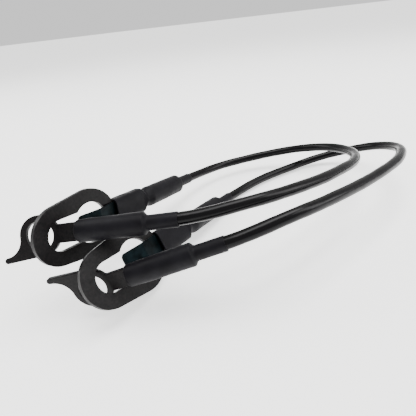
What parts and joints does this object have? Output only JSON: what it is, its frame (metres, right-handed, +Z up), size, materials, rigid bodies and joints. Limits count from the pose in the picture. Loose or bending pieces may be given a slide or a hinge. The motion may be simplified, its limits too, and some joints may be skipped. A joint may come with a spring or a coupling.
{
  "type": "tailgate support cable pair",
  "caption": "Coated wire-rope support cables, looped, with keyhole plates and spring retainers at one end and tailed eye plates at the other.",
  "frame": {"origin": "centre of the end fittings' footprint, on the surface the pair lies on", "axes": "+Z up; -Y is the way the keyhole plates point; +X is towards the loops' outer side"},
  "size_m": [0.1546, 0.2336, 0.0536],
  "materials": {
    "pvc_jacket": "gloss extruded vinyl",
    "galvanised_rope": "zinc-coated wire strands",
    "black_plate": "satin black powder coat",
    "bare_steel": "plain crimped steel",
    "heat_shrink": "matte polyolefin heat-shrink",
    "spring_steel": "blued spring steel"
  },
  "bodies": {
    "cable_2": {"cable_jacket_2": "pvc_jacket", "wire_rope_core_2": "galvanised_rope", "eye_plate_2": "black_plate", "eye_ferrule_2": "bare_steel", "eye_sleeve_2": "heat_shrink", "keyhole_plate_2": "black_plate", "keyhole_ferrule_2": "bare_steel", "keyhole_sleeve_2": "heat_shrink", "leaf_root_2": "spring_steel", "leaf_rivet_2": "bare_steel"},
    "cable_1": {"cable_jacket_1": "pvc_jacket", "wire_rope_core_1": "galvanised_rope", "eye_plate_1": "black_plate", "eye_ferrule_1": "bare_steel", "eye_sleeve_1": "heat_shrink", "keyhole_plate_1": "black_plate", "keyhole_ferrule_1": "bare_steel", "keyhole_sleeve_1": "heat_shrink", "leaf_root_1": "spring_steel", "leaf_rivet_1": "bare_steel"},
    "leaf_2": {"leaf_blade_2": "spring_steel"},
    "leaf_1": {"leaf_blade_1": "spring_steel"}
  },
  "joints": [
    {"name": "cable_1_lift", "type": "slide", "parent": "cable_2", "child": "cable_1", "axis": [0, 0, 1], "range_m": [0, 0.08]},
    {"name": "leaf_1_flex", "type": "hinge", "parent": "cable_1", "child": "leaf_1", "pos_m": [-0.02538, -0.01625, 0.0325], "axis": [-0.1439, 0.1918, 0.9708], "range_deg": [0, 7], "stiffness_Nm_per_rad": 0.08, "springref_deg": -2.86},
    {"name": "leaf_2_flex", "type": "hinge", "parent": "cable_2", "child": "leaf_2", "pos_m": [0.00103, -0.01417, 0.01693], "axis": [-0.5244, 0.1363, 0.8405], "range_deg": [0, 7], "stiffness_Nm_per_rad": 0.08, "springref_deg": -2.86}
  ]
}
